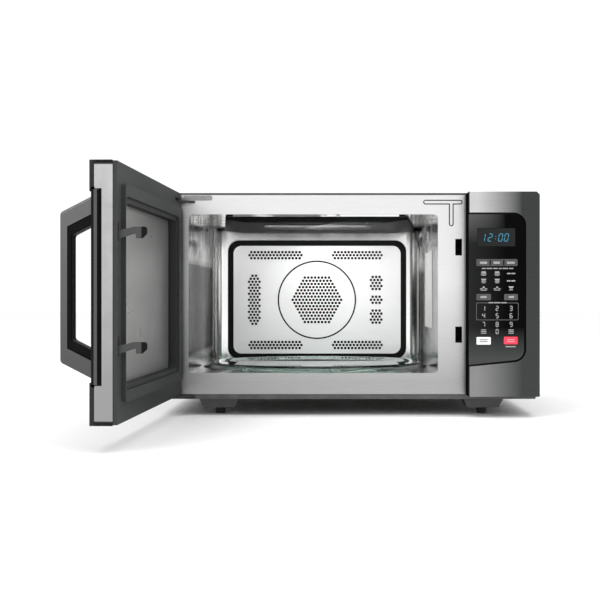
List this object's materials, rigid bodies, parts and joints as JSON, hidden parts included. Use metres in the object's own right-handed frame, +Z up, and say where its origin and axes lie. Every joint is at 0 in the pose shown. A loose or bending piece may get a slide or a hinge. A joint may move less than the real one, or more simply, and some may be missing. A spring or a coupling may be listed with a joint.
{
  "type": "microwave oven",
  "caption": "Countertop convection microwave oven with an open side-hinged door, turning glass tray, ceiling grill, rear fan wall and a flat touch panel.",
  "frame": {"origin": "on the resting plane, under the middle of the whole oven's box with the door open", "axes": "+Z up, +Y from the door towards the back of the cabinet, +X to the right as seen from the front"},
  "size_m": [0.6024, 0.9016, 0.326],
  "materials": {
    "cover_steel": "satin dark enamel",
    "zinc_steel": "zinc-plated sheet",
    "bright_plate": "satin stainless",
    "mirror_stainless": "polished stainless",
    "black_stainless": "brushed black stainless",
    "black_glass": "gloss, dark tinted",
    "clear_film": "satin tinted film",
    "tray_glass": "clear pressed glass",
    "door_plastic": "fine-textured dark grey",
    "black_plastic": "moulded, satin",
    "white_plastic": "moulded, satin",
    "perforated_steel": "black enamel",
    "heater_sheath": "oxidised heater sheath",
    "dark_enamel": "dark heat-proof enamel",
    "aluminium": "bare",
    "mica": "matt mica sheet",
    "board_green": "solder-masked laminate",
    "winding_copper": "varnished laminations",
    "rubber_grey": "matt",
    "handle_metal": "brushed",
    "display_lens": "gloss, smoke tinted",
    "keypad_film": "printed film",
    "spring_steel": "oiled wire",
    "lamp_glass": "frosted"
  },
  "bodies": {
    "cabinet": {"outer_cover": "cover_steel", "rear_panel": "zinc_steel", "cord_gland": "black_plastic", "base_plate": "cover_steel", "feet": "rubber_grey", "front_plate": "bright_plate", "cavity_wrapper": "mirror_stainless", "cavity_floor": "mirror_stainless", "fan_baffle": "mirror_stainless", "convection_housing": "zinc_steel", "convection_heater": "heater_sheath", "convection_motor": "zinc_steel", "grill_guard": "dark_enamel", "guard_clips": "black_plastic", "grill_reflector": "zinc_steel", "grill_heater": "heater_sheath", "waveguide": "zinc_steel", "waveguide_cover": "mica", "magnetron": "aluminium", "hv_transformer": "winding_copper", "hv_capacitor": "aluminium", "hv_diode": "black_plastic", "noise_filter_board": "board_green", "air_duct": "white_plastic", "cooling_motor": "zinc_steel", "lamp_housing": "zinc_steel", "cavity_lamp": "lamp_glass", "thermal_cutouts": "aluminium", "turntable_motor": "zinc_steel", "panel_frame": "black_stainless", "panel_insert": "black_glass", "display_window": "display_lens", "keypad_membrane": "keypad_film", "control_board": "board_green", "latch_board": "black_plastic", "interlock_switches": "black_plastic", "upper_hinge": "zinc_steel", "lower_hinge": "zinc_steel", "sheet_screws": "zinc_steel"},
    "door": {"door_skin": "black_stainless", "door_glass": "black_glass", "door_frame": "door_plastic", "hinge_pins": "zinc_steel", "door_liner": "door_plastic", "door_screen": "perforated_steel", "door_window": "clear_film", "handle_shell": "handle_metal", "handle_insert": "black_plastic", "handle_screws": "zinc_steel", "latch_spring": "spring_steel"},
    "door_latch": {"latch_hooks": "black_plastic"},
    "turntable": {"glass_tray": "tray_glass", "turntable_coupler": "white_plastic"},
    "roller_ring": {"roller_ring": "white_plastic"},
    "roller_1": {"roller_1": "white_plastic"},
    "roller_2": {"roller_2": "white_plastic"},
    "roller_3": {"roller_3": "white_plastic"},
    "convection_fan": {"convection_fan": "zinc_steel"},
    "cooling_fan": {"cooling_fan": "white_plastic"},
    "interlock_plungers": {"switch_plungers": "black_plastic"}
  },
  "joints": [
    {"name": "door_hinge", "type": "hinge", "parent": "cabinet", "child": "door", "pos_m": [-0.2328, -0.022, 0.18], "axis": [0, 0, 1], "range_deg": [0, 92]},
    {"name": "latch_lift", "type": "slide", "parent": "door", "child": "door_latch", "axis": [0, 0, 1], "range_m": [0, 0.005], "stiffness_N_per_m": 300, "springref_m": -0.01, "deforming": ["latch_spring"]},
    {"name": "turntable_spin", "type": "hinge", "parent": "cabinet", "child": "turntable", "pos_m": [-0.02605, 0.19, 0.05], "axis": [0, 0, 1], "continuous": true},
    {"name": "roller_ring_spin", "type": "hinge", "parent": "cabinet", "child": "roller_ring", "pos_m": [-0.02605, 0.19, 0.05], "axis": [0, 0, 1], "continuous": true},
    {"name": "roller_1_spin", "type": "hinge", "parent": "roller_ring", "child": "roller_1", "pos_m": [0.00746, 0.07686, 0.0547], "axis": [0.284, -0.9588, 0], "continuous": true},
    {"name": "roller_2_spin", "type": "hinge", "parent": "roller_ring", "child": "roller_2", "pos_m": [0.05518, 0.27559, 0.0547], "axis": [0.6884, 0.7254, 0], "continuous": true},
    {"name": "roller_3_spin", "type": "hinge", "parent": "roller_ring", "child": "roller_3", "pos_m": [-0.14079, 0.21755, 0.0547], "axis": [-0.9724, 0.2334, 0], "continuous": true},
    {"name": "convection_fan_spin", "type": "hinge", "parent": "cabinet", "child": "convection_fan", "pos_m": [-0.0266, 0.397, 0.1688], "axis": [0, 1, 0], "continuous": true},
    {"name": "cooling_fan_spin", "type": "hinge", "parent": "cabinet", "child": "cooling_fan", "pos_m": [0.2312, 0.413, 0.182], "axis": [0, 1, 0], "continuous": true},
    {"name": "plunger_press", "type": "slide", "parent": "cabinet", "child": "interlock_plungers", "axis": [0, 1, 0], "range_m": [0, 0.0015], "stiffness_N_per_m": 400}
  ],
  "couplings": [
    {"joint": "roller_ring_spin", "follows": "turntable_spin", "ratio": 0.5},
    {"joint": "roller_1_spin", "follows": "turntable_spin", "ratio": -7.0238},
    {"joint": "roller_2_spin", "follows": "turntable_spin", "ratio": -7.0238},
    {"joint": "roller_3_spin", "follows": "turntable_spin", "ratio": -7.0238}
  ]
}
